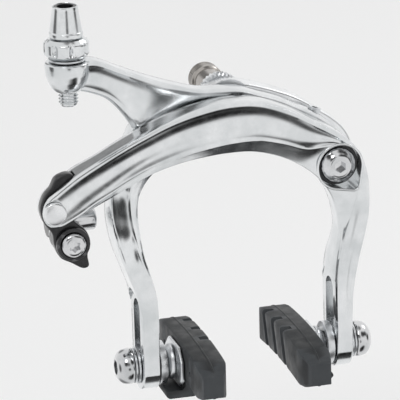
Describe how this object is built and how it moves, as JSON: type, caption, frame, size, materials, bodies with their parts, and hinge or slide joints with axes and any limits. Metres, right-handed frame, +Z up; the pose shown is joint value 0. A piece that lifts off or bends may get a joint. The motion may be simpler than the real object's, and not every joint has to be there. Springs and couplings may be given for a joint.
{
  "type": "rim brake caliper",
  "caption": "Long-reach dual-pivot side-pull rim brake caliper with quick release, barrel adjuster and toe-adjustable pads in slotted arms.",
  "frame": {"origin": "on the mounting bolt's axis, in the rear face of the serrated washer that seats on the fork crown", "axes": "+X to the right as seen from in front of the bicycle, +Y rearward along the mounting bolt into the fork, +Z up"},
  "size_m": [0.0936, 0.0585, 0.1108],
  "materials": {
    "polished_alloy": "polished forged aluminium",
    "plated_steel": "plated steel",
    "black_anodised": "black satin",
    "bush_bronze": "plain bush",
    "spring_steel": "spring wire",
    "pad_rubber": "matte moulded rubber"
  },
  "bodies": {
    "bracket": {"pivot_bracket": "polished_alloy", "mounting_bolt": "plated_steel", "recessed_nut": "plated_steel", "serrated_washer": "plated_steel", "front_thrust_washer": "plated_steel", "rear_thrust_washer": "plated_steel", "side_pivot_bolt": "plated_steel", "side_pivot_washer": "plated_steel", "side_thrust_washer": "plated_steel", "spring_post": "plated_steel", "spring_sleeve": "black_anodised", "return_spring": "spring_steel"},
    "front_arm": {"front_arm": "polished_alloy", "front_arm_bush": "bush_bronze", "qr_pin": "polished_alloy"},
    "rear_arm": {"rear_arm": "polished_alloy", "rear_arm_bush": "bush_bronze", "adjuster_seat_washer": "black_anodised"},
    "qr_lever": {"qr_lever": "black_anodised", "cable_anchor_bolt": "plated_steel", "cable_clamp_washer": "plated_steel", "cable_clamp_nut": "plated_steel"},
    "centring_screw": {"centring_screw": "plated_steel"},
    "adjuster_collar": {"adjuster_collar": "polished_alloy"},
    "adjuster_barrel": {"adjuster_barrel": "polished_alloy"},
    "left_slot_washers": {"left_concave_washer": "plated_steel", "left_outer_washer": "plated_steel"},
    "left_toe_washers": {"left_convex_washer": "plated_steel", "left_nut_washer": "plated_steel", "left_cap_nut": "plated_steel"},
    "left_pad": {"left_pad_stud": "plated_steel", "left_backing_plate": "plated_steel", "left_brake_shoe": "pad_rubber"},
    "right_slot_washers": {"right_concave_washer": "plated_steel", "right_outer_washer": "plated_steel"},
    "right_toe_washers": {"right_convex_washer": "plated_steel", "right_nut_washer": "plated_steel", "right_cap_nut": "plated_steel"},
    "right_pad": {"right_pad_stud": "plated_steel", "right_backing_plate": "plated_steel", "right_brake_shoe": "pad_rubber"}
  },
  "joints": [
    {"name": "front_arm_pivot", "type": "hinge", "parent": "bracket", "child": "front_arm", "pos_m": [0.0267, -0.022, -0.017], "axis": [0, 1, 0], "range_deg": [0, 6], "stiffness_Nm_per_rad": 1.5, "springref_deg": -20.05},
    {"name": "rear_arm_pivot", "type": "hinge", "parent": "bracket", "child": "rear_arm", "pos_m": [0, -0.0145, 0], "axis": [0, 1, 0], "range_deg": [-4.7, 0]},
    {"name": "qr_lever_swing", "type": "hinge", "parent": "front_arm", "child": "qr_lever", "pos_m": [-0.0531, -0.0214, -0.0218], "axis": [0, 1, 0], "range_deg": [-15, 0]},
    {"name": "centring_screw_turn", "type": "hinge", "parent": "rear_arm", "child": "centring_screw", "pos_m": [0.022, -0.01455, -0.0071], "axis": [0.3231, 0, 0.9464], "range_deg": [-180, 180]},
    {"name": "adjuster_collar_turn", "type": "hinge", "parent": "rear_arm", "child": "adjuster_collar", "pos_m": [-0.0456, -0.0142, 0.02], "axis": [0, 0, 1], "range_deg": [-2163, 0]},
    {"name": "adjuster_barrel_slide", "type": "slide", "parent": "rear_arm", "child": "adjuster_barrel", "axis": [0, 0, 1], "range_m": [0, 0.006]},
    {"name": "left_pad_height", "type": "slide", "parent": "rear_arm", "child": "left_slot_washers", "axis": [0, 0, 1], "range_m": [0, 0.016]},
    {"name": "left_pad_toe_in", "type": "hinge", "parent": "left_slot_washers", "child": "left_toe_washers", "pos_m": [-0.02765, -0.0195, -0.07], "axis": [0, 0, 1], "range_deg": [-2, 2]},
    {"name": "left_pad_pitch", "type": "hinge", "parent": "left_toe_washers", "child": "left_pad", "pos_m": [-0.02765, -0.0195, -0.07], "axis": [1, 0, 0], "range_deg": [-15, 15]},
    {"name": "right_pad_height", "type": "slide", "parent": "front_arm", "child": "right_slot_washers", "axis": [0, 0, 1], "range_m": [0, 0.016]},
    {"name": "right_pad_toe_in", "type": "hinge", "parent": "right_slot_washers", "child": "right_toe_washers", "pos_m": [0.02765, -0.0195, -0.07], "axis": [0, 0, 1], "range_deg": [-2, 2]},
    {"name": "right_pad_pitch", "type": "hinge", "parent": "right_toe_washers", "child": "right_pad", "pos_m": [0.02765, -0.0195, -0.07], "axis": [1, 0, 0], "range_deg": [-15, 15]}
  ],
  "couplings": [
    {"joint": "rear_arm_pivot", "follows": "front_arm_pivot", "ratio": -0.76},
    {"joint": "adjuster_collar_turn", "follows": "adjuster_barrel_slide", "rad_per_m": -6283.2}
  ]
}
